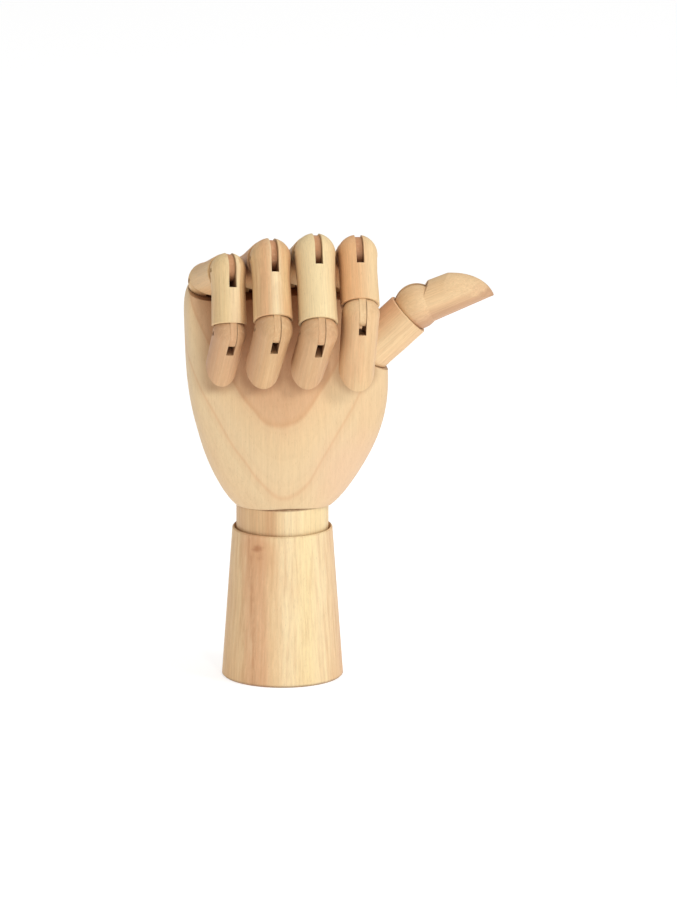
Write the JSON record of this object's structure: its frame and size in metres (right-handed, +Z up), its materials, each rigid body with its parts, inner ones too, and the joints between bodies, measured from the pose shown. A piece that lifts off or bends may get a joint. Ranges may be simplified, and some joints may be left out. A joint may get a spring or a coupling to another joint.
{
  "type": "articulated wooden hand model",
  "caption": "Jointed wooden hand on a tapered round base, fingers and thumb hinged at every knuckle, wrist ring seated in the base's cup.",
  "frame": {"origin": "centre of the base's bottom face", "axes": "+Z up through the turned base and neck ring, palm side to -Y, thumb to +X"},
  "size_m": [0.1229, 0.0814, 0.1874],
  "materials": {
    "base_wood": "sanded, unvarnished pale hardwood, grain upright",
    "ring_wood": "sanded, unvarnished pale hardwood",
    "palm_wood": "sanded, unvarnished pale hardwood with wide growth rings",
    "finger_wood": "sanded, unvarnished pale hardwood",
    "tongue_wood": "sawn, slightly darker wood",
    "pin_steel": "plain drawn wire",
    "zinc_steel": "zinc plated",
    "spring_steel": "drawn spring wire"
  },
  "bodies": {
    "base": {"base": "base_wood", "base_plug": "base_wood"},
    "wrist_seat": {"seat_washer": "zinc_steel"},
    "neck": {"neck_ring": "ring_wood", "spring_cap": "zinc_steel"},
    "palm": {"palm": "palm_wood", "wrist_rod": "zinc_steel", "wrist_spring": "spring_steel", "spring_washer": "zinc_steel", "wrist_nut": "zinc_steel", "thumb_base_tongue": "tongue_wood", "little_knuckle_tongue": "tongue_wood", "ring_knuckle_tongue": "tongue_wood", "middle_knuckle_tongue": "tongue_wood", "index_knuckle_tongue": "tongue_wood"},
    "little_proximal": {"little_proximal": "finger_wood", "little_pin_1": "pin_steel", "little_proximal_tongue": "tongue_wood"},
    "little_middle": {"little_middle": "finger_wood", "little_pin_2": "pin_steel", "little_middle_tongue": "tongue_wood"},
    "little_tip": {"little_tip": "finger_wood", "little_pin_3": "pin_steel"},
    "ring_proximal": {"ring_proximal": "finger_wood", "ring_pin_1": "pin_steel", "ring_proximal_tongue": "tongue_wood"},
    "ring_middle": {"ring_middle": "finger_wood", "ring_pin_2": "pin_steel", "ring_middle_tongue": "tongue_wood"},
    "ring_tip": {"ring_tip": "finger_wood", "ring_pin_3": "pin_steel"},
    "middle_proximal": {"middle_proximal": "finger_wood", "middle_pin_1": "pin_steel", "middle_proximal_tongue": "tongue_wood"},
    "middle_middle": {"middle_middle": "finger_wood", "middle_pin_2": "pin_steel", "middle_middle_tongue": "tongue_wood"},
    "middle_tip": {"middle_tip": "finger_wood", "middle_pin_3": "pin_steel"},
    "index_proximal": {"index_proximal": "finger_wood", "index_pin_1": "pin_steel", "index_proximal_tongue": "tongue_wood"},
    "index_middle": {"index_middle": "finger_wood", "index_pin_2": "pin_steel", "index_middle_tongue": "tongue_wood"},
    "index_tip": {"index_tip": "finger_wood", "index_pin_3": "pin_steel"},
    "thumb_proximal": {"thumb_proximal": "finger_wood", "thumb_pin_1": "pin_steel", "thumb_proximal_tongue": "tongue_wood"},
    "thumb_tip": {"thumb_tip": "finger_wood", "thumb_pin_2": "pin_steel"}
  },
  "joints": [
    {"name": "wrist_side_tilt", "type": "hinge", "parent": "base", "child": "wrist_seat", "pos_m": [0, 0, 0.0754], "axis": [0, 1, 0], "range_deg": [-6, 6]},
    {"name": "wrist_bend", "type": "hinge", "parent": "wrist_seat", "child": "neck", "pos_m": [0, 0, 0.0754], "axis": [1, 0, 0], "range_deg": [-6, 6]},
    {"name": "wrist_turn", "type": "hinge", "parent": "neck", "child": "palm", "pos_m": [0, 0, 0.0704], "axis": [0, 0, 1], "continuous": true},
    {"name": "little_knuckle", "type": "hinge", "parent": "palm", "child": "little_proximal", "pos_m": [-0.0302, 0.0015, 0.1623], "axis": [0.9919, 0.0833, -0.0958], "range_deg": [-74, 12]},
    {"name": "little_mid_joint", "type": "hinge", "parent": "little_proximal", "child": "little_middle", "pos_m": [-0.02689, -0.02586, 0.17282], "axis": [0.9919, 0.0833, -0.0958], "range_deg": [-88, 2]},
    {"name": "little_end_joint", "type": "hinge", "parent": "little_middle", "child": "little_tip", "pos_m": [-0.02829, -0.03598, 0.14946], "axis": [0.9919, 0.0833, -0.0958], "range_deg": [-48, 14]},
    {"name": "ring_knuckle", "type": "hinge", "parent": "palm", "child": "ring_proximal", "pos_m": [-0.0125, 0.0025, 0.1638], "axis": [0.995, 0.0278, -0.0958], "range_deg": [-71, 14]},
    {"name": "ring_mid_joint", "type": "hinge", "parent": "ring_proximal", "child": "ring_middle", "pos_m": [-0.01031, -0.02851, 0.17757], "axis": [0.995, 0.0278, -0.0958], "range_deg": [-80, 8]},
    {"name": "ring_end_joint", "type": "hinge", "parent": "ring_middle", "child": "ring_tip", "pos_m": [-0.01224, -0.04552, 0.15256], "axis": [0.995, 0.0278, -0.0958], "range_deg": [-55, 14]},
    {"name": "middle_knuckle", "type": "hinge", "parent": "palm", "child": "middle_proximal", "pos_m": [0.0062, 0.0028, 0.1645], "axis": [0.9969, 0, -0.0785], "range_deg": [-71, 14]},
    {"name": "middle_mid_joint", "type": "hinge", "parent": "middle_proximal", "child": "middle_middle", "pos_m": [0.00735, -0.03009, 0.1791], "axis": [0.9969, 0, -0.0785], "range_deg": [-78, 8]},
    {"name": "middle_end_joint", "type": "hinge", "parent": "middle_middle", "child": "middle_tip", "pos_m": [0.00519, -0.04967, 0.15163], "axis": [0.9969, 0, -0.0785], "range_deg": [-65, 6]},
    {"name": "index_knuckle", "type": "hinge", "parent": "palm", "child": "index_proximal", "pos_m": [0.0257, 0.002, 0.1613], "axis": [0.9976, -0.0523, -0.0454], "range_deg": [-67, 16]},
    {"name": "index_mid_joint", "type": "hinge", "parent": "index_proximal", "child": "index_middle", "pos_m": [0.02484, -0.02846, 0.17748], "axis": [0.9976, -0.0523, -0.0454], "range_deg": [-79, 8]},
    {"name": "index_end_joint", "type": "hinge", "parent": "index_middle", "child": "index_tip", "pos_m": [0.02305, -0.04488, 0.15714], "axis": [0.9976, -0.0523, -0.0454], "range_deg": [-38, 18]},
    {"name": "thumb_base_joint", "type": "hinge", "parent": "palm", "child": "thumb_proximal", "pos_m": [0.0359, -0.003, 0.1333], "axis": [-0.1736, -0.9848, 0], "range_deg": [-20, 10]},
    {"name": "thumb_end_joint", "type": "hinge", "parent": "thumb_proximal", "child": "thumb_tip", "pos_m": [0.05347, -0.0061, 0.14994], "axis": [-0.1736, -0.9848, 0], "range_deg": [-12, 70]}
  ]
}
